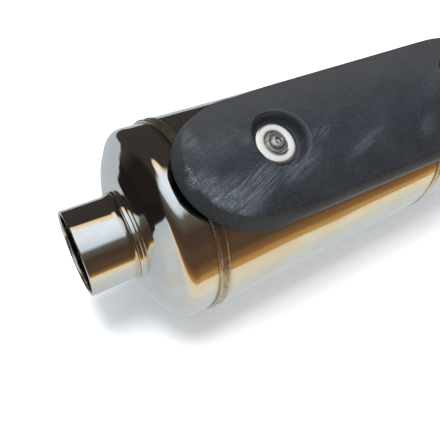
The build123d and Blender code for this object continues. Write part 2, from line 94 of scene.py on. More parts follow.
REAR_SEAM_W, FRONT_SEAM_W = length("rear_seam"), length("front_seam")
SCREWS = {"rear": middle("rear_shield_washer").x, "front": middle("front_shield_washer").x}

# ---- sheet and wall sizes, as in the CAD model ----------------------------------------------
SHEET = 1.2 * MM
NECK_R = 29.6 * MM
NECK_END_X = REAR_SEAM_X - 33.4 * MM
BEAD_W = 2.7 * MM
TAIL_WALL = 1.8 * MM
TAIL_STEP = 0.5 * MM
INLET_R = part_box("inlet_pipe")[1].z
FRONT_NECK_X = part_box("front_cap")[1].x
RIM_R = 70.0 * MM
CROWN = 12.0 * MM                   # the crown stands this far above the rim
SHIELD_SHIFT = -1.7 * MM
SHIELD_END = 55.0 * MM
SHIELD_REAR_HALF = 41.0 * MM
SHIELD_FRONT_HALF = 44.7 * MM
SHIELD_WALL = 2.2 * MM              # the recess floors' thickness
WELL_FLOOR = 73.0 * MM              # height of the recess floors above the can's axis
WASHER_R = length("rear_shield_washer") / 2
WASHER_SEAT = WELL_FLOOR + 0.15 * MM
DISH_FLOOR = WASHER_SEAT + 0.8 * MM
HEAD_SEAT = DISH_FLOOR + 0.06 * MM
THREAD_STEP = 0.8 * MM              # between the crests of the visual model's thread


def crown_height(across):
    """Height of the shield's crown above the can's axis."""
    return CROWN + sqrt(RIM_R ** 2 - (across - SHIELD_SHIFT) ** 2)


def rim_height(across):
    """Height of the shield's rim above the can's axis."""
    return sqrt(RIM_R ** 2 - across ** 2)


# ---- camera ---------------------------------------------------------------------------------
VIEW_AZIMUTH = radians(-32.8)
VIEW_ELEVATION = radians(40.1)
CAMERA_PLACE = Vector((-0.4277, -0.1995, 0.1793))

camera_data = bpy.data.cameras.new("camera")
camera_data.lens = 34.36
camera_data.sensor_width = 36.0
camera_data.clip_start = 0.01
camera = bpy.data.objects.new("camera", camera_data)
camera.location = CAMERA_PLACE
looking = Vector((
    -sin(VIEW_AZIMUTH) * cos(VIEW_ELEVATION),
    cos(VIEW_AZIMUTH) * cos(VIEW_ELEVATION),
    -sin(VIEW_ELEVATION),
))
camera.rotation_euler = looking.to_track_quat("-Z", "Y").to_euler()
bpy.context.scene.collection.objects.link(camera)
bpy.context.scene.camera = camera
bpy.context.scene.view_settings.view_transform = "Standard"


# ---- shader helpers -------------------------------------------------------------------------
class Shader:
    """A material, or the world, with short ways to add and join its nodes."""

    def __init__(self, owner):
        owner.use_nodes = True
        self.tree = owner.node_tree

    def add(self, kind, inputs=None, **settings):
        node = self.tree.nodes.new("ShaderNode" + kind)
        for name, value in settings.items():
            setattr(node, name, value)
        for name, value in (inputs or {}).items():
            if isinstance(value, bpy.types.NodeSocket):
                self.tree.links.new(value, node.inputs[name])
            else:
                node.inputs[name].default_value = value
        return node

    def ramp(self, value, stops):
        """Colours by place along value; stops are (place, (r, g, b))."""
        node = self.add("ValToRGB", {"Fac": value})
        ramp = node.color_ramp
        while len(ramp.elements) < len(stops):
            ramp.elements.new(1.0)
        for element, (place, colour) in zip(ramp.elements, stops):
            element.position = place
            element.color = (*colour, 1.0)
        return node.outputs["Color"]

    def range(self, value, low, high, to_low=0.0, to_high=1.0, smooth=False):
        """The value carried from low..high over to to_low..to_high, and held outside."""
        kind = "SMOOTHSTEP" if smooth else "LINEAR"
        node = self.add("MapRange", {
            "Value": value, "From Min": low, "From Max": high, "To Min": to_low, "To Max": to_high,
        }, interpolation_type=kind)
        return node.outputs["Result"]

    def math(self, kind, a, b=0.0, clamp=False):
        return self.add("Math", {0: a, 1: b}, operation=kind, use_clamp=clamp).outputs["Value"]

    def times(self, first, *others):
        """All the values multiplied."""
        for other in others:
            first = self.math("MULTIPLY", first, other)
        return first

    def most(self, first, *others):
        """The largest of the values."""
        for other in others:
            first = self.math("MAXIMUM", first, other)
        return first

    def mix(self, factor, a, b):
        """Colour a where the factor is 0, colour b where it is 1."""
        return self.add("Mix", {0: factor, 6: a, 7: b}, data_type="RGBA").outputs[2]

    def noise(self, place, scale, detail=3.0, rough=0.55, distort=0.0):
        node = self.add("TexNoise", {
            "Vector": place, "Scale": scale, "Detail": detail, "Roughness": rough, "Distortion": distort,
        })
        return node.outputs["Fac"]

    def place(self):
        return self.add("TexCoord").outputs["Object"]

    def stretched(self, place, scale):
        """The place, stretched: a small scale draws a pattern out along that axis."""
        return self.add("Mapping", {"Vector": place, "Scale": scale}).outputs["Vector"]

    def axes(self, place):
        node = self.add("SeparateXYZ", {"Vector": place})
        return node.outputs["X"], node.outputs["Y"], node.outputs["Z"]

    def bump(self, height, strength, distance, normal=None):
        inputs = {"Height": height, "Strength": strength, "Distance": distance}
        if normal is not None:
            inputs["Normal"] = normal
        return self.add("Bump", inputs).outputs["Normal"]

    def dot(self, place, direction):
        """How far the place lies along a direction."""
        return self.add("VectorMath", {0: place, 1: direction}, operation="DOT_PRODUCT").outputs["Value"]

    def joined(self, x, y, z=0.0):
        return self.add("CombineXYZ", {"X": x, "Y": y, "Z": z}).outputs["Vector"]

    def span(self, x, y):
        """The distance that two sides at a right angle make."""
        return self.add("VectorMath", {0: self.joined(x, y)}, operation="LENGTH").outputs["Value"]

    def drawn_out(self, place, direction, share):
        """The place with its part along direction cut to a share, which draws patterns out along it."""
        direction = Vector(direction).normalized()
        first = direction.orthogonal().normalized()
        second = direction.cross(first)
        along = self.times(self.dot(place, direction), share)
        return self.joined(along, self.dot(place, first), self.dot(place, second))

    def flat_lines(self, place, run, side, share, scale, low, high):
        """Scratches along run on a gently curved sheet: the height above it plays no part."""
        flat = self.joined(self.times(self.dot(place, run), share), self.dot(place, side))
        return self.range(self.noise(flat, scale, 2.0, 0.5), low, high)

    def hairlines(self, place, direction, share, scale, low, high):
        """Thin scratches along one direction: 0 off them, up to 1 on them."""
        return self.range(self.noise(self.drawn_out(place, direction, share), scale, 2.0, 0.5), low, high)

    def oval(self, place, centre, run, side, length, width):
        """1 at the centre of an oval patch, falling smoothly to 0 at its edge."""
        from_centre = self.add("VectorMath", {0: place, 1: centre}, operation="SUBTRACT").outputs["Vector"]
        reach = self.span(self.math("DIVIDE", self.dot(from_centre, run), length),
                          self.math("DIVIDE", self.dot(from_centre, side), width))
        return self.range(reach, 0.25, 1.0, 1.0, 0.0, smooth=True)


def material(name, colour, metallic=0.0, roughness=0.5):
    """A Principled material to build on, with its shader helper and its BSDF node."""
    owner = bpy.data.materials.new(name)
    shader = Shader(owner)
    surface = shader.tree.nodes["Principled BSDF"]
    surface.inputs["Base Color"].default_value = (*colour, 1.0)
    surface.inputs["Metallic"].default_value = metallic
    surface.inputs["Roughness"].default_value = roughness
    return owner, shader, surface


def join(shader, surface, **outputs):
    """Joins outputs to the BSDF's sockets."""
    sockets = {"colour": "Base Color", "roughness": "Roughness", "normal": "Normal"}
    for name, output in outputs.items():
        shader.tree.links.new(output, surface.inputs[sockets[name]])


# ---- materials ------------------------------------------------------------------------------
STEEL = (0.80, 0.79, 0.76)
STEEL_WARM = (0.77, 0.73, 0.64)
STRAW = (0.62, 0.47, 0.27)
SOOT = (0.16, 0.13, 0.11)


def polished_steel(name, heat_places=(), brushing=0.0):
    """Mirror-polished stainless: slow waves of the sheet, smudges, hairlines, specks and heat tint."""
    owner, shader, surface = material(name, STEEL, metallic=1.0, roughness=0.07)
    place = shader.place()
    along = shader.axes(place)[0]
    smudge = shader.noise(place, 38.0, 5.0, 0.62, 0.6)
    colour = shader.ramp(smudge, ((0.38, STEEL), (0.66, STEEL_WARM)))
    for x, reach in heat_places:
        off = shader.math("ABSOLUTE", shader.math("SUBTRACT", along, x))
        ragged = shader.math("ADD", off, shader.range(smudge, 0.3, 0.7, -0.25 * reach, 0.25 * reach))
        tint = shader.range(ragged, reach, 0.2 * reach, 0.0, 0.55, smooth=True)
        colour = shader.mix(tint, colour, (*STRAW, 1.0))
    specks = shader.range(shader.noise(place, 900.0, 2.0, 0.6), 0.70, 0.76)
    dirty = shader.range(shader.noise(place, 60.0, 3.0, 0.6), 0.50, 0.66)
    specks = shader.times(specks, dirty)
    colour = shader.mix(shader.times(specks, 0.6), colour, (*SOOT, 1.0))
    first = shader.hairlines(place, (0.4, 0.3, 0.9), 0.03, 1400.0, 0.66, 0.74)
    second = shader.hairlines(place, (-0.7, 0.6, 0.3), 0.04, 1100.0, 0.67, 0.75)
    lines = shader.times(shader.most(first, second), shader.range(smudge, 0.42, 0.62))
    roughness = shader.range(smudge, 0.30, 0.75, 0.035, 0.11)
    roughness = shader.math("ADD", roughness, shader.times(specks, 0.3))
    roughness = shader.math("ADD", roughness, shader.times(lines, 0.10))
    waves = shader.bump(shader.noise(place, 26.0, 2.0, 0.5), 0.35, 0.00022)
    fine = shader.bump(lines, 0.10, 0.00002, waves)
    if brushing:
        grain = shader.noise(shader.stretched(place, (1, 0.02, 0.02)), 5200.0, 2.0, 0.6)
        fine = shader.bump(grain, brushing, 0.00001, fine)
    join(shader, surface, colour=colour, roughness=roughness, normal=fine)
    return owner


def weld_steel(name, burnt):
    """Ground weld: heat colours, bright rubbed ridges, pits and grinding lines.

    burnt is how brown it is, from 0 to 1.
    """
    owner, shader, surface = material(name, (0.45, 0.38, 0.31), metallic=1.0, roughness=0.4)
    place = shader.place()
    blotch = shader.noise(place, 210.0, 5.0, 0.65, 0.8)
    colour = shader.ramp(blotch, (
        (0.30, (0.10, 0.065, 0.045)), (0.45, (0.30, 0.21, 0.14)),
        (0.58, (0.46, 0.36, 0.26)), (0.72, (0.66, 0.60, 0.52)),
    ))
    colour = shader.mix(burnt, (0.80, 0.78, 0.73, 1.0), colour)
    grit = shader.noise(place, 1500.0, 4.0, 0.7)
    roughness = shader.range(blotch, 0.3, 0.75, 0.46, 0.24)
    _, sideways, upward = shader.axes(place)
    ridge = shader.range(shader.span(sideways, upward), CAN_R + 0.34 * MM, CAN_R + 0.50 * MM)
    colour = shader.mix(shader.times(ridge, 0.8), colour, (0.72, 0.69, 0.63, 1.0))
    roughness = shader.math("SUBTRACT", roughness, shader.times(ridge, 0.12))
    lines = shader.noise(shader.stretched(place, (1, 0.05, 0.05)), 3000.0, 3.0, 0.6)
    normal = shader.bump(lines, 0.35, 0.00004, shader.bump(grit, 0.55, 0.00010))
    join(shader, surface, colour=colour, roughness=roughness, normal=normal)
    return owner


def satin_steel(name, colour, roughness):
    """Drawn or rolled stainless with grain along the can, handling marks and slight heat colour."""
    owner, shader, surface = material(name, colour, metallic=1.0, roughness=roughness)
    place = shader.place()
    grain = shader.noise(shader.stretched(place, (0.03, 1, 1)), 2600.0, 3.0, 0.6)
    blotch = shader.noise(place, 70.0, 4.0, 0.6, 0.4)
    warmer = tuple(c * k for c, k in zip(colour, (0.95, 0.83, 0.66)))
    tone = shader.ramp(blotch, ((0.40, colour), (0.75, warmer)))
    dark = tuple(c * 0.72 for c in colour)
    tone = shader.mix(shader.range(grain, 0.3, 0.7, 0.0, 0.35), tone, (*dark, 1.0))
    rough = shader.math("ADD", shader.range(grain, 0.3, 0.7, roughness - 0.07, roughness + 0.08),
                        shader.range(blotch, 0.4, 0.8, 0.0, 0.08))
    normal = shader.bump(grain, 0.22, 0.00003)
    join(shader, surface, colour=tone, roughness=rough, normal=normal)
    return owner


def fastener_steel(name, colour, roughness):
    """Machined stainless: fine tool marks, small dings and grime."""
    owner, shader, surface = material(name, colour, metallic=1.0, roughness=roughness)
    place = shader.place()
    grime = shader.noise(place, 480.0, 4.0, 0.65, 0.5)
    dark = tuple(c * 0.6 for c in colour)
    tone = shader.ramp(grime, ((0.34, dark), (0.48, colour)))
    tooling = shader.noise(place, 3800.0, 2.0, 0.6)
    rough = shader.range(grime, 0.35, 0.7, roughness + 0.16, roughness - 0.05)
    normal = shader.bump(tooling, 0.15, 0.00001, shader.bump(grime, 0.12, 0.00003))
    join(shader, surface, colour=tone, roughness=rough, normal=normal)
    return owner


def washer_steel():
    """Polished washer, warm in patches, with fine wear."""
    owner, shader, surface = material("washer_steel", (0.86, 0.84, 0.79), metallic=1.0, roughness=0.14)
    place = shader.place()
    cloud = shader.noise(place, 260.0, 4.0, 0.6, 0.3)
    tone = shader.ramp(cloud, ((0.30, (0.95, 0.82, 0.66)), (0.70, (0.93, 0.88, 0.82))))
    rough = shader.range(cloud, 0.3, 0.7, 0.17, 0.22)
    normal = shader.bump(shader.noise(place, 2400.0, 3.0, 0.6), 0.03, 0.00003)
    join(shader, surface, colour=tone, roughness=rough, normal=normal)
    return owner


PLASTIC = (0.014, 0.016, 0.020)
PLASTIC_WORN = (0.026, 0.029, 0.034)
PLASTIC_TOP_SHEEN = (0.045, 0.044, 0.042)    # painted sheen: lighter, warmer tone towards the upper edge, where light from above falls
GRAIN_TIP = (0.052, 0.056, 0.062)
RIM_BEVEL_HIGHLIGHT = (0.055, 0.064, 0.080)          # painted highlight on the far side of the recess rims
# painted highlight along the lower side wall
LOWER_RIM_HIGHLIGHT = (0.120, 0.130, 0.145)
SCUFF = (0.17, 0.19, 0.215)
SCRATCH_TURN = radians(17)              # of most scratches, from along the can to across the shield
BUNDLE_TURN = radians(23)               # of the bundle below the rear recess

# Marks on the shield: millimetres along and across from the rear screw, length, width, strength.
SCUFFS = (
    (-52, -13, 12, 14, 0.30), (-47, -21, 20, 14, 0.42), (-37, -26, 22, 11, 0.36),
    (-44, 3, 26, 12, 0.09), (-22, 6, 9, 6, 0.20), (-27, -20, 24, 11, 0.26),
    (3, -19, 24, 8, 0.20), (53, -20, 24, 5, 0.22), (108, -24, 14, 8, 0.16),
    (150, 4, 40, 14, 0.12), (-52, 17, 8, 20, 0.18),
)
CHALK = ((-58.8, -1.5, 2.0, 4.0, 1.3), (-58.9, -7.5, 2.2, 6.0, 1.9))
BUNDLES = ((-27, -20, 24, 11, 1.0), (-2, -17, 18, 6, 0.7), (23, -5, 13, 6, 0.45))


def run_and_side(turn):
    """Two directions in the shield's plane: turned from along towards across, and square to it."""
    run = Vector((cos(turn), 0, 0)) + ACROSS * sin(turn)
    side = Vector((-sin(turn), 0, 0)) + ACROSS * cos(turn)
    return run, side


def patches(shader, place, rows):
    """The strongest of the oval patches that the rows of marks describe."""
    run, side = run_and_side(SCRATCH_TURN)
    ovals = []
    for along, across, length, width, strength in rows:
        x, y = SCREWS["rear"] + along * MM, across * MM
        centre = Vector((x, 0, 0)) + ACROSS * y + LIFT_AXIS * crown_height(y)
        oval = shader.oval(place, centre, run, side, length * MM, width * MM)
        ovals.append(shader.times(oval, strength))
    return shader.most(*ovals)


def plastic_scuffs(shader, place, cloud, fleck):
    """Grey scuffing, streaked along the scratches, on the crown only."""
    run, _ = run_and_side(SCRATCH_TURN)
    streaks = shader.noise(shader.drawn_out(place, run, 0.12), 420.0, 4.0, 0.65)
    wear = shader.times(shader.range(streaks, 0.38, 0.62), shader.range(cloud, 0.38, 0.60, 0.35, 1.2))
    scuffs = shader.times(patches(shader, place, SCUFFS), shader.math("ADD", shader.times(wear, 1.3), 0.35))
    scuffs = shader.times(scuffs, shader.math("ADD", fleck, 0.45))
    crown = shader.span(shader.math("SUBTRACT", shader.dot(place, LIFT_AXIS), CROWN),
                        shader.math("SUBTRACT", shader.dot(place, ACROSS), SHIELD_SHIFT))
    return shader.times(scuffs, shader.range(crown, RIM_R - 1.7 * MM, RIM_R - 0.8 * MM))


def plastic_scratches(shader, place):
    """Bundles of parallel scratches: below the recess, at its right, and a few strays everywhere."""
    lines = shader.flat_lines(place, *run_and_side(BUNDLE_TURN), 0.030, 2000.0, 0.545, 0.63)
    fine = shader.flat_lines(place, *run_and_side(SCRATCH_TURN), 0.030, 2300.0, 0.57, 0.66)
    scratches = shader.times(shader.most(lines, fine), patches(shader, place, BUNDLES))
    stray = shader.hairlines(place, (0.9, -0.25, 0.35), 0.02, 700.0, 0.70, 0.76)
    return shader.most(scratches, shader.times(stray, 0.3))


def recess_rim_highlight(shader, place, x):
    """Painted highlight: the far side of the rim of the recess at x, made lighter and bluer."""
    along = shader.math("SUBTRACT", shader.axes(place)[0], x)
    across = shader.dot(place, ACROSS)
    distance = shader.span(along, across)
    ring = shader.times(shader.range(distance, 16.2 * MM, 17.2 * MM, smooth=True),
                        shader.range(distance, 18.9 * MM, 17.9 * MM, smooth=True))
    far = shader.math("ADD", shader.times(along, 0.9), shader.times(across, 0.4))
    return shader.times(ring, shader.range(far, -4 * MM, 10 * MM, 0.0, 0.75, smooth=True))


def lower_rim_highlight(shader, place):
    """Painted highlight: the lower part of the side wall made lighter, past the rounded end."""
    along, sideways, upward = shader.axes(place)
    low = shader.range(shader.span(sideways, upward), RIM_R + 7.5 * MM, RIM_R + 1.5 * MM, smooth=True)
    screw_x = SCREWS["rear"]
    return shader.times(low, shader.range(along, screw_x - 20 * MM, screw_x + 50 * MM, smooth=True))


def black_plastic():
    """Moulded plastic with a fine eroded grain and light specks, scuffed patches and bundles of scratches; painted
    sheen towards the upper edge and painted highlights on the lower side wall and the recess rims.
    """
    owner, shader, surface = material("black_plastic", PLASTIC, roughness=0.52)
    surface.inputs["Specular IOR Level"].default_value = 0.14
    place = shader.place()
    cloud = shader.noise(place, 45.0, 5.0, 0.6, 0.5)
    grain = shader.noise(place, 1500.0, 2.0, 0.55)
    tone = shader.ramp(cloud, ((0.35, PLASTIC), (0.72, PLASTIC_WORN)))
    # Painted sheen: the crown lighter and warmer towards its upper edge, where light from above falls.
    warm = shader.range(shader.dot(place, ACROSS), -6 * MM, 34 * MM, 0.0, 0.7, smooth=True)
    tone = shader.mix(warm, tone, (*PLASTIC_TOP_SHEEN, 1.0))
    tone = shader.mix(shader.range(grain, 0.42, 0.66, 0.0, 0.55), tone, (*GRAIN_TIP, 1.0))
    # Painted highlight along the lower side wall, past the rounded end.
    tone = shader.mix(shader.times(lower_rim_highlight(shader, place), 0.8), tone, (*LOWER_RIM_HIGHLIGHT, 1.0))
    # Painted highlights on the far side of the recess rims.
    for x in SCREWS.values():
        tone = shader.mix(recess_rim_highlight(shader, place, x), tone, (*RIM_BEVEL_HIGHLIGHT, 1.0))

    fleck = shader.range(shader.noise(place, 1300.0, 3.0, 0.7), 0.46, 0.64)
    speck = shader.range(shader.noise(place, 2600.0, 1.0, 0.5), 0.66, 0.72, 0.0, 0.35)
    scuffs = plastic_scuffs(shader, place, cloud, fleck)
    scratches = plastic_scratches(shader, place)
    chalk = shader.times(patches(shader, place, CHALK), fleck)
    marks = shader.most(scuffs, speck, shader.times(scratches, 0.8), chalk)
    marks = shader.math("MINIMUM", marks, 1.0)
    colour = shader.mix(marks, tone, (*SCUFF, 1.0))
    roughness = shader.range(grain, 0.3, 0.7, 0.44, 0.58)
    roughness = shader.math("ADD", roughness, shader.times(marks, 0.2), clamp=True)
    normal = shader.bump(grain, 0.55, 0.00016, shader.bump(cloud, 0.25, 0.0003))
    normal = shader.bump(scratches, -0.25, 0.00005, normal)
    join(shader, surface, colour=colour, roughness=roughness, normal=normal)
    return owner


def matt(name, colour, roughness, pattern, stops, varied, relief, metallic=0.0, finer=None,
         stretch=(1, 1, 1)):
    """A matt material, with one cloudy pattern for its colour, its roughness and its relief.

    pattern is noise settings, and so is finer, which takes over the relief; varied is the roughness
    at either end of the pattern; relief is the bump's strength and depth.
    """
    owner, shader, surface = material(name, colour, metallic=metallic, roughness=roughness)
    place = shader.stretched(shader.place(), stretch)
    cloud = shader.noise(place, *pattern)
    height = shader.noise(place, *finer) if finer else cloud
    join(shader, surface, colour=shader.ramp(cloud, stops), roughness=shader.range(cloud, 0.3, 0.7, *varied),
         normal=shader.bump(height, *relief))
    return owner


SEAM_HEAT = (
    (REAR_SEAM_X + REAR_SEAM_W / 2, 7.5 * MM),
    (FRONT_SEAM_END - FRONT_SEAM_W / 2, 7.5 * MM),
)
looks = {
    "polished_steel": polished_steel("polished_steel", SEAM_HEAT),
    "weld_steel": weld_steel("weld_steel", 0.75),
    "plain_steel": satin_steel("plain_steel", (0.56, 0.55, 0.53), 0.30),
    "fastener_steel": fastener_steel("fastener_steel", (0.66, 0.65, 0.62), 0.33),
    "washer_steel": washer_steel(),
    "black_plastic": black_plastic(),
    "rubber": matt("rubber", (0.03, 0.03, 0.03), 0.75, (120.0, 5.0, 0.6, 0.4),
                   ((0.35, (0.018, 0.018, 0.019)), (0.75, (0.062, 0.060, 0.057))),
                   (0.62, 0.85), (0.30, 0.0001), finer=(1800.0, 3.0, 0.6)),
    "glass_wool": matt("glass_wool", (0.72, 0.66, 0.48), 0.95, (1600.0, 5.0, 0.75, 1.5),
                       ((0.35, (0.42, 0.36, 0.22)), (0.65, (0.80, 0.75, 0.58))),
                       (0.95, 0.95), (0.8, 0.0006), stretch=(0.15, 1, 1)),
    "graphite": matt("graphite", (0.10, 0.10, 0.11), 0.5, (900.0, 4.0, 0.65, 0.6),
                     ((0.35, (0.045, 0.045, 0.05)), (0.70, (0.20, 0.20, 0.21))),
                     (0.38, 0.62), (0.35, 0.0002), metallic=0.2),
    "catalyst_foil": matt("catalyst_foil", (0.36, 0.33, 0.30), 0.6, (700.0, 4.0, 0.65, 0.3),
                          ((0.35, (0.22, 0.19, 0.16)), (0.70, (0.48, 0.44, 0.38))),
                          (0.5, 0.8), (0.4, 0.0002), metallic=0.6),
}
clean_weld = weld_steel("clean_weld", 0.0)
tail_look = polished_steel("tail_steel", ((NECK_END_X - 1.0 * MM, 4.0 * MM),), brushing=0.12)

SLOT_OF = {row["node"]: row["material_slot"] for row in frame["record"]["subparts"]}
for node, slot in SLOT_OF.items():
    shown = nodes[node]
    if not shown.data.materials:
        shown.data.materials.append(None)
    for place in shown.material_slots:
        place.material = looks[slot]


# ---- mesh helpers ---------------------------------------------------------------------------
BODY_OF = {}
for body, members in frame["record"]["behaviour"]["bodies"].items():
    for member in members:
        BODY_OF[member] = body


def finish_piece(name, mesh, *replaced, look=None, sharp=32):
    """Turns a bmesh into the named piece that stands for the CAD nodes."""
    bmesh.ops.recalc_face_normals(mesh, faces=mesh.faces)
    data = bpy.data.meshes.new(name)
    mesh.to_mesh(data)
    mesh.free()
    for face in data.polygons:
        face.use_smooth = True
    data.set_sharp_from_angle(angle=radians(sharp))
    piece = bpy.data.objects.new(name, data)
    bpy.context.scene.collection.objects.link(piece)
    slot = SLOT_OF[replaced[0]]
    data.materials.append(look or looks[slot])
    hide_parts(*replaced)
    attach(piece, BODY_OF[replaced[0]])
    return piece


def rounded(points, radii, steps=10):
    """The corners of a path, each turned into an arc of its radius; closed paths repeat no point."""
    path = []
    count = len(points)
    for i, radius in enumerate(radii):
        here = Vector(points[i])
        if not radius:
            path.append(here)
            continue
        back = (Vector(points[i - 1]) - here).normalized()
        ahead = (Vector(points[(i + 1) % count]) - here).normalized()
        half = acos(max(-1.0, min(1.0, back.dot(ahead)))) / 2
        reach = radius / tan(half)
        centre = here + (back + ahead).normalized() * (radius / sin(half))
        start, end = here + back * reach - centre, here + ahead * reach - centre
        turn = pi - 2 * half
        for k in range(steps + 1):
            part = turn * k / steps
            point = start * (sin(turn - part) / sin(turn)) + end * (sin(part) / sin(turn))
            path.append(centre + point)
    return path


def split(path, longest):
    """More points on a closed path, so that no run is longer than the given length."""
    fine = []
    for i, here in enumerate(path):
        ahead = path[(i + 1) % len(path)]
        runs = max(1, round((ahead - here).length / longest))
        fine += [here.lerp(ahead, k / runs) for k in range(runs)]
    return fine


def lathe(profile, segments, place, shape=None):
    """A bmesh turned from a closed profile of (along, radius).

    place gives a point from along, radius and angle; shape may change along and radius at each angle.
    """
    mesh = bmesh.new()
    rings = []
    for k in range(segments):
        angle = 2 * pi * k / segments
        ring = []
        for along, radius in profile:
            if shape:
                along, radius = shape(along, radius, angle)
            ring.append(mesh.verts.new(place(along, radius, angle)))
        rings.append(ring)
    for k, ring in enumerate(rings):
        after = rings[(k + 1) % segments]
        for i in range(len(ring)):
            j = (i + 1) % len(ring)
            mesh.faces.new((ring[i], ring[j], after[j], after[i]))
    return mesh


def on_can(along, radius, angle):
    """A point turned about the can's axis."""
    return Vector((along, radius * cos(angle), radius * sin(angle)))


def on_screw(x):
    """Places points turned about a shield screw's axis, with heights above the can's axis."""
    def place(height, radius, angle):
        flat = Vector((1, 0, 0)) * (radius * cos(angle)) + ACROSS * (radius * sin(angle))
        return Vector((x, 0, 0)) + LIFT_AXIS * height + flat
    return place


def wavy(depth, size, seed):
    """Slow waves of pressed or rolled sheet, at most depth high, for lathe."""
    def shape(along, radius, angle):
        point = on_can(along, radius, angle) / size + Vector((seed, 0, 0))
        return along, radius + depth * noise.noise(point)
    return shape


def sheet_profile(outer, wall):
    """A closed section: the outer path, then the same path set in by the wall, backwards."""
    inner = []
    for i, here in enumerate(outer):
        before, after = outer[max(i - 1, 0)], outer[min(i + 1, len(outer) - 1)]
        run = (after - before).normalized()
        inner.append(here + Vector((-run.y, run.x)) * wall)
    return outer + inner[::-1]


# ---- can ------------------------------------------------------------------------------------
def make_body_shell():
    inner = CAN_R - SHEET
    corners = [(REAR_SEAM_X, CAN_R), (FRONT_SEAM_END, CAN_R), (FRONT_SEAM_END, inner), (REAR_SEAM_X, inner)]
    profile = split(rounded(corners, [0.2 * MM] * 4, 3), 8 * MM)
    mesh = lathe(profile, 360, on_can, wavy(0.10 * MM, 0.07, 3.0))
    return finish_piece("shell_skin", mesh, "body_shell")


LAP = 14.0 * MM                     # of the caps inside the shell


def make_cap(node, corners, radii, longest, seed):
    """An end cap turned from the corners of its outside, each rounded, and the sheet's thickness."""
    profile = split(sheet_profile(rounded(corners, radii, 14), SHEET), longest)
    mesh = lathe(profile, 360, on_can, wavy(0.16 * MM, 0.035, seed))
    return finish_piece(node + "_skin", mesh, node)


def make_rear_cap():
    corners = [
        (REAR_SEAM_X + LAP, SKIRT_R),
        (REAR_SEAM_X - 18.0 * MM, SKIRT_R),
        (REAR_SEAM_X - 26.8 * MM, 49.5 * MM),
        (REAR_SEAM_X - 30.7 * MM, 39.0 * MM),
        (REAR_SEAM_X - 30.9 * MM, NECK_R),
        (NECK_END_X, NECK_R),
        (NECK_END_X, NECK_R - 0.5 * SHEET),
    ]
    radii = [0, 10.0 * MM, 26.0 * MM, 24.0 * MM, 0.6 * MM, 0.6 * MM, 0]
    return make_cap("rear_cap", corners, radii, 3 * MM, 8.0)


def make_front_cap():
    neck = INLET_R + 1.8 * MM
    corners = [
        (FRONT_NECK_X, neck),
        (FRONT_NECK_X - 9.9 * MM, neck),
        (FRONT_NECK_X - 21.0 * MM, SKIRT_R),
        (FRONT_SEAM_END - LAP, SKIRT_R),
    ]
    return make_cap("front_cap", corners, [0, 2.4 * MM, 12.6 * MM, 0], 4 * MM, 5.0)


def make_seam(name, x, width, node, seed, look=None):
    """Two raised weld lines that wander a little, with a rough ground strip between them."""
    base = CAN_R + 0.05 * MM
    line_at = (0.8 * MM, width - 0.8 * MM)
    count = 30
    path = [Vector((x, base))]
    path += [Vector((x + width * k / count, base + 0.1 * MM)) for k in range(count + 1)]
    path.append(Vector((x + width, base)))

    def shape(along, radius, angle):
        if radius <= base:
            return along, radius - 0.02 * MM
        turned = Vector((cos(angle), sin(angle), 0))
        rise = 0.0
        for side, middle_x in enumerate(line_at):
            wander = 0.45 * MM * noise.noise(turned * 5 + Vector((0, 0, seed + 7 * side)))
            wander += 0.12 * MM * noise.noise(turned * 40 + Vector((0, 0, seed + 3 * side)))
            off = (along - x - middle_x - wander) / (0.42 * MM)
            height = 0.46 + 0.16 * noise.noise(turned * 60 + Vector((0, side, seed)))
            rise += height * MM * exp(-off * off)
        rough = noise.noise(Vector((along * 900, turned.x * 62, turned.y * 62 + seed)))
        return along, radius + rise + 0.10 * MM * (0.5 + rough)

    mesh = lathe(path, 900, on_can, shape)
    return finish_piece(name, mesh, node, look=look, sharp=60)


def make_tail_pipe():
    bore, outer = TAIL_R - TAIL_WALL, TAIL_R
    covered = NECK_END_X - BEAD_W
    core_x = OUTLET_X + 21.95 * MM
    corners = [
        (OUTLET_X, bore), (OUTLET_X, outer), (covered, outer), (covered, outer - TAIL_STEP),
        (TAIL_INNER_X, outer - TAIL_STEP), (TAIL_INNER_X, bore + TAIL_STEP),
        (core_x, bore + TAIL_STEP), (core_x, bore),
    ]
    radii = [0.95 * MM, 0.80 * MM, 0.2 * MM, 0, 0, 0, 0, 0.2 * MM]
    profile = split(rounded(corners, radii, 8), 3 * MM)
    mesh = lathe(profile, 256, on_can, wavy(0.03 * MM, 0.03, 1.0))
    return finish_piece("tail_pipe_tube", mesh, "tail_pipe", look=tail_look)


def bead(name, node, low, high, root, rise, ripples, seed):
    """A weld bead round the can's axis, with the small ripples that its passes leave."""
    half = (high - low) / 2
    middle_x = (high + low) / 2
    corners = [Vector((high, root)), Vector((low, root))]
    for k in range(1, 16):
        angle = pi * k / 16
        corners.append(Vector((middle_x - half * cos(angle), root + rise * sin(angle) ** 0.8)))

    def shape(along, radius, angle):
        if radius <= root:
            return along, radius
        turned = Vector((cos(angle), sin(angle), seed))
        share = (radius - root) / rise
        ripple = 0.03 * MM * sin(ripples * angle + 2.5 * noise.noise(turned * 3) + 900 * (along - low))
        return along + 0.10 * MM * noise.noise(turned * 8) * share, radius + ripple * share

    return finish_piece(name, lathe(corners, 720, on_can, shape), node, sharp=50)


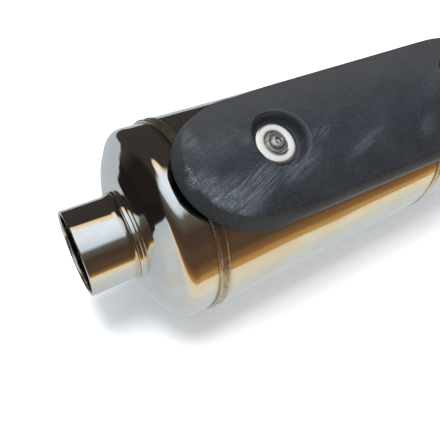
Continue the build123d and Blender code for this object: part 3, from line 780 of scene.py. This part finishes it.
def make_tail_weld():
    """The polished-down weld: it flares up from the pipe and stops just short of the neck's end."""
    low, high = NECK_END_X - BEAD_W, NECK_END_X - 0.12 * MM
    toe, sunk = TAIL_R + 0.01 * MM, TAIL_R - TAIL_STEP + 0.02 * MM
    corners = [
        (high, sunk), (low + 0.1 * MM, sunk), (low + 0.1 * MM, toe), (low - 2.6 * MM, toe),
        (low - 0.6 * MM, TAIL_R + 0.15 * MM), (low + 0.9 * MM, TAIL_R + 0.70 * MM),
        (high - 0.5 * MM, TAIL_R + 1.75 * MM), (high, TAIL_R + 1.70 * MM),
    ]
    radii = [0, 0, 0, 0, 3.0 * MM, 4.0 * MM, 0.5 * MM, 0.3 * MM]
    mesh = lathe(rounded(corners, radii, 8), 256, on_can, wavy(0.06 * MM, 0.05, 2.0))
    return finish_piece("tail_weld_bead", mesh, "tail_weld", look=tail_look)


def make_inlet_weld():
    low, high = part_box("inlet_weld")[0].x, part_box("inlet_weld")[1].x
    return bead("inlet_weld_bead", "inlet_weld", low, high, INLET_R + 0.05 * MM, 1.6 * MM, 120, 6.0)


# ---- heat shield ----------------------------------------------------------------------------
def shield_outline():
    """Points round the shield's rim, seen from straight outside, about 2 mm apart."""
    rear, front = SHIELD_REAR_X + SHIELD_END, SHIELD_FRONT_X - SHIELD_END
    points = []
    for centre, half, first in ((rear, SHIELD_REAR_HALF, 90), (front, SHIELD_FRONT_HALF, -90)):
        for k in range(72):
            angle = radians(first + 180 * k / 71)
            points.append(Vector((centre + SHIELD_END * cos(angle), SHIELD_SHIFT + half * sin(angle))))
    return split(points, 2.2 * MM)


def smooth_share(value, low, high):
    """0 below low, 1 above high, and a soft curve between."""
    t = max(0.0, min(1.0, (value - low) / (high - low)))
    return t * t * (3 - 2 * t)


FIRST_SMOOTHED = 8                  # of the rings, counted from the rim upwards


def shield_rings():
    """The side wall and the edge of the crown as rings of (along, across, height).

    At the rounded rear end the wall is nearly straight and meets the crown in a crisp crease. Along
    the sides, and round the front, the wall rolls over into the crown in a large soft fillet.
    """
    outline = shield_outline()
    count = len(outline)
    levels = (0.0, 0.06, 0.16, 0.28, 0.40, 0.52, 0.64, 0.74, 0.83, 0.90, 0.95, 0.98, 1.0)
    beyond = (0.45 * MM, 1.0 * MM, 1.8 * MM, 3.0 * MM, 4.6 * MM)
    rings = [[] for _ in range(len(levels) + len(beyond))]
    for i, here in enumerate(outline):
        run = (outline[(i + 1) % count] - outline[i - 1]).normalized()
        inward = Vector((-run.y, run.x))
        soft = smooth_share(here.x - SHIELD_REAR_X, 34 * MM, 82 * MM)
        inset = (3.2 + 3.4 * soft) * MM
        inset += 1.0 * MM * smooth_share(-here.y, 20 * MM, 36 * MM) * (1 - soft)
        low = rim_height(here.y)
        crease = here + inward * inset
        top = crown_height(crease.y)
        for k, t in enumerate(levels):
            straight = (t, t ** 0.92)
            round_ = (1 - cos(pi * t / 2), sin(pi * t / 2))
            inward_share = straight[0] + (round_[0] - straight[0]) * soft
            upward_share = straight[1] + (round_[1] - straight[1]) * soft
            flat = here + inward * (inset * inward_share)
            rings[k].append(Vector((flat.x, flat.y, low + (top - low) * upward_share)))
        for k, more in enumerate(beyond):
            flat = crease + inward * more
            rings[len(levels) + k].append(Vector((flat.x, flat.y, crown_height(flat.y))))
    for _ in range(2):
        kept = [[p.copy() for p in ring] for ring in rings]
        for k in range(FIRST_SMOOTHED, len(rings) - 2):
            for i in range(count):
                rings[k][i] = (kept[k - 1][i] + 2 * kept[k][i] + kept[k + 1][i]) / 4
    return rings


WELL_SEGMENTS = 96
WELL_EDGE = 21.0 * MM
GRID_STEP = 3.4 * MM                # between the crown's inner points

# A recess's section, in millimetres: its bevel as (radius, depth below the crown), then its wall
# and floor as (radius, height above the floor), down to the collar's hole.
WELL_BEVEL = ((19.4, 0.0), (18.7, 0.08), (18.0, 0.30), (17.5, 0.70), (17.1, 1.30), (16.8, 2.2))
WELL_INSIDE = ((16.1, 4.4), (15.4, 2.4), (14.8, 0.9), (14.5, 0.4), (14.0, 0.10), (13.4, 0.0),
               (9.0, 0.0), (5.5, 0.0))


def shield_vertex(mesh, point):
    """A vertex at (along, across, height)."""
    return mesh.verts.new(Vector((point[0], 0, 0)) + ACROSS * point[1] + LIFT_AXIS * point[2])


def bridge(mesh, outer, inner):
    """Faces between two closed rings of vertices."""
    count = len(outer)
    for i in range(count):
        j = (i + 1) % count
        mesh.faces.new((outer[i], outer[j], inner[j], inner[i]))


def well_ring(mesh, x, radius, height):
    """A ring of a recess; height tells how high it lies at a place across the shield."""
    ring = []
    for k in range(WELL_SEGMENTS):
        angle = 2 * pi * k / WELL_SEGMENTS
        across = radius * sin(angle)
        ring.append(shield_vertex(mesh, (x + radius * cos(angle), across, height(across))))
    return ring


def make_recess(mesh, x):
    """The recess round the screw at x. Returns its outermost ring, which lies on the crown."""
    edge = well_ring(mesh, x, WELL_EDGE, crown_height)
    outer = edge
    for radius, depth in WELL_BEVEL:
        inner = well_ring(mesh, x, radius * MM, lambda across: crown_height(across) - depth * MM)
        bridge(mesh, outer, inner)
        outer = inner
    for radius, rise in WELL_INSIDE:
        inner = well_ring(mesh, x, radius * MM, lambda across: WELL_FLOOR + rise * MM)
        bridge(mesh, outer, inner)
        outer = inner
    return edge


def is_inside(point, loop):
    """Whether a flat point lies inside a closed loop of flat points."""
    inside = False
    for i, a in enumerate(loop):
        b = loop[(i + 1) % len(loop)]
        if (a.y > point.y) != (b.y > point.y):
            if point.x < a.x + (point.y - a.y) * (b.x - a.x) / (b.y - a.y):
                inside = not inside
    return inside


def crown_grid(border):
    """Flat points all over the crown, clear of its border and of the recesses."""
    points = []
    row = 0
    clear = 0.6 * GRID_STEP
    y = SHIELD_SHIFT - SHIELD_FRONT_HALF
    while y < SHIELD_SHIFT + SHIELD_FRONT_HALF:
        x = SHIELD_REAR_X + (GRID_STEP / 2 if row % 2 else 0)
        while x < SHIELD_FRONT_X:
            point = Vector((x, y))
            free = min((point - p).length for p in border) > clear
            free = free and all(hypot(x - s, y) > WELL_EDGE + clear for s in SCREWS.values())
            if free and is_inside(point, border):
                points.append(point)
            x += GRID_STEP
        y += GRID_STEP * 0.866
        row += 1
    return points


def in_a_recess(corners):
    """Whether all the flat corners of a face lie within the outermost ring of one recess."""
    reach = WELL_EDGE + 0.01 * MM
    return any(all(hypot(p.x - x, p.y) < reach for p in corners) for x in SCREWS.values())


def make_heat_shield():
    """The crown is a triangulated sheet between the edge rings and the two recesses."""
    mesh = bmesh.new()
    places = shield_rings()
    rings = [[shield_vertex(mesh, p) for p in ring] for ring in places]
    for outer, inner in zip(rings, rings[1:]):
        bridge(mesh, outer, inner)

    # Flat points with, where it is there already, the vertex that stands at each; and the edges
    # that the triangulation has to keep.
    border = [Vector((p.x, p.y)) for p in places[-1]]
    flat, known, edges = list(border), list(rings[-1]), []
    edges += [(i, (i + 1) % len(border)) for i in range(len(border))]
    for x in SCREWS.values():
        first = len(flat)
        known += make_recess(mesh, x)
        for k in range(WELL_SEGMENTS):
            angle = 2 * pi * k / WELL_SEGMENTS
            flat.append(Vector((x, 0)) + Vector((cos(angle), sin(angle))) * WELL_EDGE)
            edges.append((first + k, first + (k + 1) % WELL_SEGMENTS))
    flat += crown_grid(border)

    points, _, faces, origins, _, _ = geometry.delaunay_2d_cdt(flat, edges, [], 1, 1e-7)
    made = []
    for point, origin in zip(points, origins):
        vert = known[origin[0]] if origin and origin[0] < len(known) else None
        made.append(vert or shield_vertex(mesh, (point.x, point.y, crown_height(point.y))))
    for face in faces:
        if not in_a_recess([points[i] for i in face]):
            mesh.faces.new([made[i] for i in face])
    loose = [v for v in mesh.verts if not v.link_faces]
    bmesh.ops.delete(mesh, geom=loose, context="VERTS")

    piece = finish_piece("shield_moulding", mesh, "heat_shield", sharp=70)
    sample = piece.data.polygons[0]
    radial = sample.center - Vector((sample.center.x, 0, 0))
    thick = piece.modifiers.new("wall", "SOLIDIFY")
    thick.thickness = SHIELD_WALL
    thick.offset = -1.0 if sample.normal.dot(radial) > 0 else 1.0
    thick.use_even_offset = False
    return piece


def make_washer(place, x):
    """Dished washer: a broad rolled ring round a sunk seat for the screw's head."""
    hole_r = 3.08 * MM
    roll_r = 6.5 * MM                   # inner edge of the rolled ring
    top = WASHER_SEAT + 1.9 * MM
    low = WASHER_SEAT + 0.55 * MM
    profile = [(DISH_FLOOR, hole_r), (WASHER_SEAT, hole_r), (WASHER_SEAT, WASHER_R - 0.4 * MM),
               (WASHER_SEAT + 0.25 * MM, WASHER_R - 0.05 * MM)]
    centre, half = (WASHER_R + roll_r) / 2, (WASHER_R - roll_r) / 2
    for k in range(25):
        angle = pi * k / 24
        profile.append((low + (top - low) * sin(angle) ** 0.8, centre + half * cos(angle)))
    profile.append((DISH_FLOOR, roll_r - 0.05 * MM))
    mesh = lathe([Vector(point) for point in profile], 128, on_screw(x))
    return finish_piece(f"{place}_washer_dish", mesh, f"{place}_shield_washer")


def make_screw(place, x):
    """Button-head screw: domed head with a thin flange, chamfered hexagon socket, threaded shank."""
    seat = HEAD_SEAT
    top = seat + 3.3 * MM
    tip = 65.4 * MM
    head_r, flange_r, shank_r, socket_r = 5.25 * MM, 6.2 * MM, 3.0 * MM, 2.15 * MM
    profile = [(tip, 0.6 * MM), (tip, shank_r - 0.7 * MM), (tip + 0.5 * MM, shank_r - 0.25 * MM)]
    along = tip + 0.8 * MM
    while along < seat - 1.2 * MM:
        profile += [(along, shank_r - 0.32 * MM), (along + THREAD_STEP / 2, shank_r)]
        along += THREAD_STEP
    profile += [(seat - 0.4 * MM, shank_r), (seat, shank_r), (seat, flange_r - 0.2 * MM),
                (seat + 0.2 * MM, flange_r), (seat + 0.55 * MM, flange_r),
                (seat + 0.75 * MM, flange_r - 0.3 * MM), (seat + 0.9 * MM, head_r + 0.15 * MM)]
    for k in range(13):
        angle = radians(4 + 70 * k / 12)
        rise = 2.3 * MM * sin(angle) / sin(radians(74))
        profile.append((seat + 1.0 * MM + rise, head_r * (0.50 + 0.50 * cos(angle * 1.25))))
    flat_r = profile[-1][1]
    profile += [(top, flat_r * 0.98), (top - 0.02 * MM, socket_r * 1.22), (top - 0.30 * MM, socket_r),
                (top - 2.0 * MM, socket_r), (top - 2.3 * MM, 0.5 * MM)]

    def socket(along, radius, angle):
        """The socket's wall as a hexagon; everything else stays round."""
        if along > top - 2.2 * MM and radius <= socket_r * 1.01:
            sector = (angle + pi / 6) % (pi / 3) - pi / 6
            return along, socket_r * cos(pi / 6) / cos(sector) * 1.08
        return along, radius

    mesh = lathe(profile, 120, on_screw(x), socket)
    return finish_piece(f"{place}_button_screw", mesh, f"{place}_shield_screw", sharp=28)


make_body_shell()
make_rear_cap()
make_front_cap()
make_seam("rear_seam_weld", REAR_SEAM_X, REAR_SEAM_W, "rear_seam", 1.0)
make_seam("front_seam_weld", FRONT_SEAM_END - FRONT_SEAM_W, FRONT_SEAM_W, "front_seam", 4.0, clean_weld)
make_tail_pipe()
make_tail_weld()
make_inlet_weld()
make_heat_shield()
for place, x in SCREWS.items():
    make_washer(place, x)
    make_screw(place, x)


# ---- stage: floor, reflection cards, sky, light ---------------------------------------------
FLOOR_HALF = 6.0
CARD_HALF = 3.0
FLAG_FAR = 25.0

# The dark flag's outline round the neck's end: azimuth in degrees, distance in metres.
FLAG_EDGE = ((-86, 0.40), (-80, 0.20), (-70, 0.13), (-60, 0.115), (-50, 0.12), (-40, 0.15), (-34, 0.3),
             (-34, FLAG_FAR), (-86, FLAG_FAR))


def flat_card(name, corners, height):
    """A level card with these (x, y) corners."""
    data = bpy.data.meshes.new(name)
    data.from_pydata([(x, y, height) for x, y in corners], [], [tuple(range(len(corners)))])
    card = bpy.data.objects.new(name, data)
    bpy.context.scene.collection.objects.link(card)
    return card


def square(half):
    return ((-half, -half), (half, -half), (half, half), (-half, half))


def only_mirrored(card):
    """The card is seen in the polished metal and nowhere else."""
    for ray in ("camera", "diffuse", "shadow", "transmission"):
        setattr(card, "visible_" + ray, False)


def glowing(surface, shine, colour, strength):
    """Sets a card's shine, and the light that it gives off by itself."""
    surface.inputs["Specular IOR Level"].default_value = shine
    surface.inputs["Emission Color"].default_value = (*colour, 1.0)
    surface.inputs["Emission Strength"].default_value = strength


def make_floor():
    """Pale paper, which the polished metal doesn't mirror. It glows faintly, though it is no lamp, which lightens
    the shadows on it and lights the parts above it from below.
    """
    floor = flat_card("floor", square(FLOOR_HALF), FLOOR_Z - 0.2 * MM)
    floor_look, shader, surface = material("floor_look", (0.86, 0.86, 0.85), roughness=0.9)
    paper = shader.noise(shader.place(), 40.0, 4.0, 0.6)
    colour = shader.ramp(paper, ((0.3, (0.85, 0.85, 0.845)), (0.7, (0.88, 0.88, 0.875))))
    join(shader, surface, colour=colour)
    # Painted light: the paper glows faintly, which lifts its shadows.
    glowing(surface, 0.1, (0.95, 0.97, 1.0), 0.22)
    floor.data.materials.append(floor_look)
    floor.visible_glossy = False


def make_mirror_card():
    """What the polished can mirrors from below: pale by the can, then amber, then dark brown."""
    card = flat_card("mirror_card", square(CARD_HALF), FLOOR_Z - 0.1 * MM)
    only_mirrored(card)
    card_look = bpy.data.materials.new("mirror_card_look")
    shader = Shader(card_look)
    shader.tree.nodes.clear()
    place = shader.place()
    warp = shader.range(shader.noise(place, 5.0, 3.0, 0.5), 0.3, 0.7, -0.012, 0.012)
    across = shader.math("ADD", shader.axes(place)[1], warp)
    grain = shader.noise(shader.drawn_out(place, (1.0, 0.06, 0.0), 0.03), 55.0, 4.0, 0.7)
    reach = shader.range(across, 0.05, -0.35)
    reach = shader.math("ADD", reach, shader.range(grain, 0.35, 0.65, -0.022, 0.022))
    glow = shader.ramp(reach, (
        (0.12, (0.42, 0.46, 0.51)), (0.30, (0.52, 0.55, 0.55)), (0.38, (0.66, 0.62, 0.50)),
        (0.462, (0.70, 0.60, 0.42)), (0.474, (0.46, 0.28, 0.095)), (0.53, (0.38, 0.21, 0.075)),
        (0.545, (0.24, 0.125, 0.045)), (0.64, (0.17, 0.085, 0.034)), (0.80, (0.085, 0.050, 0.030)),
    ))
    glow_node = shader.add("Emission", {"Color": glow, "Strength": 1.25})
    output = shader.add("OutputMaterial")
    shader.tree.links.new(glow_node.outputs[0], output.inputs["Surface"])
    card.data.materials.append(card_look)


def make_dark_flag():
    """A dark card on the floor behind the outlet: the domed cap mirrors it as a black patch."""
    corners = []
    for turn, distance in FLAG_EDGE:
        azimuth = radians(turn)
        corners.append((NECK_END_X + distance * sin(azimuth), distance * cos(azimuth)))
    flag = flat_card("dark_flag", corners, FLOOR_Z + 1 * MM)
    only_mirrored(flag)
    flag_look, _, surface = material("dark_flag_look", (0, 0, 0), roughness=1.0)
    glowing(surface, 0.0, (0.014, 0.011, 0.012), 1.0)
    flag.data.materials.append(flag_look)


def mirrored_sky(shader):
    """What polished metal mirrors from above: one gradient on the outer side, one on the other."""
    generated = shader.add("TexCoord").outputs["Generated"]
    direction = shader.add("VectorMath", {0: generated}, operation="NORMALIZE").outputs["Vector"]
    along, sideways, upward = shader.axes(direction)
    up = shader.range(upward, -1.0, 1.0)
    outer_sky = shader.ramp(up, (
        (0.46, (0.085, 0.052, 0.036)), (0.64, (0.070, 0.047, 0.034)), (0.78, (0.13, 0.12, 0.105)),
        (0.80, (0.30, 0.31, 0.31)), (0.835, (0.66, 0.78, 0.92)), (0.97, (0.92, 1.02, 1.15)),
    ))
    inner_sky = shader.ramp(up, (
        (0.46, (0.050, 0.044, 0.040)), (0.970, (0.040, 0.034, 0.029)), (0.976, (0.95, 0.72, 0.40)),
        (0.988, (1.0, 0.85, 0.58)), (0.994, (0.92, 1.02, 1.15)),
    ))
    side = shader.range(sideways, -0.10, 0.12, smooth=True)
    behind = shader.times(shader.range(along, -0.55, -0.74, smooth=True), side)
    sky = shader.mix(behind, shader.mix(side, outer_sky, inner_sky), (0.018, 0.014, 0.013, 1.0))
    return up, sky


def make_sky():
    """A world that looks plain to the camera, soft to diffuse rays and graded to mirrors."""
    world = bpy.data.worlds.new("studio")
    bpy.context.scene.world = world
    shader = Shader(world)
    shader.tree.nodes.clear()
    up, sky = mirrored_sky(shader)
    dome = shader.ramp(up, (
        (0.47, (0.10, 0.10, 0.10)), (0.70, (0.40, 0.43, 0.48)), (0.97, (1.20, 1.24, 1.30)),
    ))
    glossy = shader.add("Background", {"Color": sky, "Strength": 1.0}).outputs[0]
    soft = shader.add("Background", {"Color": dome, "Strength": 0.85}).outputs[0]
    plain = shader.add("Background", {"Color": (0.93, 0.93, 0.93, 1.0), "Strength": 1.0}).outputs[0]
    path = shader.add("LightPath").outputs
    indirect = shader.add("MixShader", {0: path["Is Glossy Ray"], 1: soft, 2: glossy}).outputs[0]
    seen = shader.add("MixShader", {0: path["Is Camera Ray"], 1: indirect, 2: plain}).outputs[0]
    output = shader.add("OutputWorld")
    shader.tree.links.new(seen, output.inputs["Surface"])


def soft_light(name, place, target, size, power, colour):
    """A round area light that the polished metal doesn't mirror."""
    data = bpy.data.lights.new(name, "AREA")
    data.shape = "DISK"
    data.size = size
    data.energy = power
    data.color = colour
    light = bpy.data.objects.new(name, data)
    light.location = place
    light.rotation_euler = (Vector(target) - Vector(place)).to_track_quat("-Z", "Y").to_euler()
    light.visible_glossy = False
    bpy.context.scene.collection.objects.link(light)


make_floor()
make_mirror_card()
make_dark_flag()
make_sky()
soft_light("key", (-0.35, -0.10, 1.55), (-0.25, 0, 0), 0.9, 27.0, (0.97, 0.98, 1.0))
